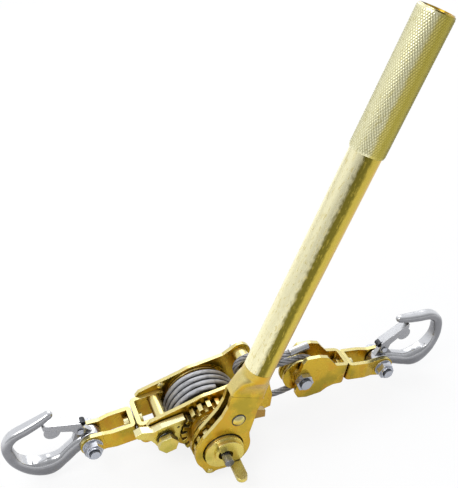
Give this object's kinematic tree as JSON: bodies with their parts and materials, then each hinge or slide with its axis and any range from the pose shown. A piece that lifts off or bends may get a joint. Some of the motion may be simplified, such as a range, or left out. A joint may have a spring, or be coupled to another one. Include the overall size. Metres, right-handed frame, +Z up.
{
  "type": "come along winch",
  "caption": "Hand-lever wire-rope puller: a ratchet drum in a plate frame with a swivelling anchor hook, and a rope-hung sheave block with a load hook.",
  "frame": {"origin": "middle of the anchor hook's round seat", "axes": "+Z up from the floor that the winch lies on, +X from the anchor hook to the load hook, the handle on the -Y side; the drum's axle runs along Y"},
  "size_m": [0.4789, 0.1244, 0.4459],
  "materials": {
    "gold_zinc": "yellow zinc-chromate plated steel, satin",
    "pale_zinc": "pale yellow zinc-chromate plated steel",
    "bright_zinc": "bright zinc plated steel",
    "forged_steel": "forged, tumbled and zinc plated steel",
    "dark_steel": "dark spring steel",
    "bronze_zinc": "dark yellow zinc-chromate plated steel",
    "wire_rope": "galvanised steel wire rope"
  },
  "bodies": {
    "frame": {"near_plate": "gold_zinc", "far_plate": "gold_zinc", "rear_strap": "pale_zinc", "frame_rivets": "pale_zinc", "rear_spacer": "gold_zinc", "guard_band": "gold_zinc", "anchor_sleeve": "gold_zinc", "anchor_bolt": "bright_zinc", "axle_bushes": "pale_zinc", "pawl_bolt": "gold_zinc", "pawl_bush": "bright_zinc", "pawl_spring": "dark_steel", "rope_eye": "wire_rope", "ferrule": "bright_zinc", "end_sleeve": "bright_zinc", "upper_strand": "wire_rope", "lower_strand": "wire_rope", "rear_swivel_rivet": "bright_zinc"},
    "drum": {"drum": "gold_zinc", "winding": "wire_rope", "rope_clamp": "bright_zinc", "axle": "bright_zinc", "axle_clip": "dark_steel", "ratchet_wheel": "gold_zinc", "hub_spacer": "bright_zinc", "drive_gear": "pale_zinc", "centre_bolt": "bright_zinc"},
    "handle": {"outer_fork_plate": "gold_zinc", "inner_fork_plate": "gold_zinc", "handle_socket": "pale_zinc", "fork_rivets": "pale_zinc", "fork_bush": "bright_zinc", "drive_pawl_pin": "pale_zinc", "drive_pawl_spring": "dark_steel", "handle_tube": "gold_zinc", "grip": "pale_zinc", "handle_plug": "gold_zinc"},
    "drive_pawl": {"drive_pawl": "bronze_zinc"},
    "holding_pawl": {"holding_pawl": "pale_zinc"},
    "knob": {"knob": "gold_zinc"},
    "rear_yoke": {"rear_yoke": "gold_zinc", "rear_hook_bolt": "bright_zinc", "rear_washers": "bright_zinc"},
    "rear_hook": {"rear_hook": "forged_steel", "rear_latch_pin": "bright_zinc"},
    "rear_latch": {"rear_latch": "bright_zinc"},
    "block": {"block_frame": "gold_zinc", "block_rope": "wire_rope", "sheave_bolt": "bright_zinc", "front_swivel_rivet": "bright_zinc"},
    "sheave": {"sheave": "gold_zinc"},
    "front_yoke": {"front_yoke": "gold_zinc", "front_hook_bolt": "bright_zinc", "front_washers": "bright_zinc"},
    "front_hook": {"front_hook": "forged_steel", "front_latch_pin": "bright_zinc"},
    "front_latch": {"front_latch": "bright_zinc"}
  },
  "joints": [
    {"name": "handle_swing", "type": "hinge", "parent": "frame", "child": "handle", "pos_m": [0.16623, -0.05, -0.00887], "axis": [0, -1, 0], "range_deg": [-45, 95]},
    {"name": "drum_spin", "type": "hinge", "parent": "frame", "child": "drum", "pos_m": [0.16623, 0, -0.00887], "axis": [0, -1, 0], "range_deg": [0, 1080], "deforming": ["lower_strand"]},
    {"name": "block_travel", "type": "slide", "parent": "frame", "child": "block", "axis": [1, 0, 0], "range_m": [0, 0.325], "deforming": ["upper_strand", "lower_strand"]},
    {"name": "sheave_spin", "type": "hinge", "parent": "block", "child": "sheave", "pos_m": [0.27273, 0, 0.00063], "axis": [0, -1, 0], "range_deg": [0, 1008]},
    {"name": "drive_pawl_swing", "type": "hinge", "parent": "handle", "child": "drive_pawl", "pos_m": [0.18194, -0.05375, 0.02574], "axis": [0, -1, 0], "range_deg": [0, 14], "stiffness_Nm_per_rad": 0.05, "springref_deg": -28.65},
    {"name": "holding_pawl_swing", "type": "hinge", "parent": "frame", "child": "holding_pawl", "pos_m": [0.11874, -0.0275, -0.00678], "axis": [0, -1, 0], "range_deg": [0, 35], "stiffness_Nm_per_rad": 0.05, "springref_deg": -28.65},
    {"name": "knob_turn", "type": "hinge", "parent": "handle", "child": "knob", "pos_m": [0.16623, -0.062, -0.00887], "axis": [0, -1, 0], "range_deg": [-40, 40]},
    {"name": "rear_swivel", "type": "hinge", "parent": "frame", "child": "rear_yoke", "pos_m": [0.09618, 0, -0.0065], "axis": [0.9962, 0, 0.0872], "continuous": true},
    {"name": "rear_hook_pivot", "type": "hinge", "parent": "rear_yoke", "child": "rear_hook", "pos_m": [0.05036, 0, -0.01051], "axis": [0, 1, 0], "range_deg": [-75, 75]},
    {"name": "rear_latch_swing", "type": "hinge", "parent": "rear_hook", "child": "rear_latch", "pos_m": [0.04212, 0, 0.00696], "axis": [0, -1, 0], "range_deg": [0, 35], "stiffness_Nm_per_rad": 0.02, "springref_deg": -34.38},
    {"name": "front_swivel", "type": "hinge", "parent": "block", "child": "front_yoke", "pos_m": [0.32583, 0, -0.00921], "axis": [0.9833, 0, -0.1822], "continuous": true},
    {"name": "front_hook_pivot", "type": "hinge", "parent": "front_yoke", "child": "front_hook", "pos_m": [0.37106, 0, -0.0176], "axis": [0, -1, 0], "range_deg": [-75, 75]},
    {"name": "front_latch_swing", "type": "hinge", "parent": "front_hook", "child": "front_latch", "pos_m": [0.37416, 0, 0.00147], "axis": [0, 1, 0], "range_deg": [0, 35], "stiffness_Nm_per_rad": 0.02, "springref_deg": -34.38}
  ],
  "couplings": [
    {"joint": "block_travel", "follows": "drum_spin", "m_per_rad": 0.01725},
    {"joint": "sheave_spin", "follows": "drum_spin", "ratio": 0.93243}
  ]
}
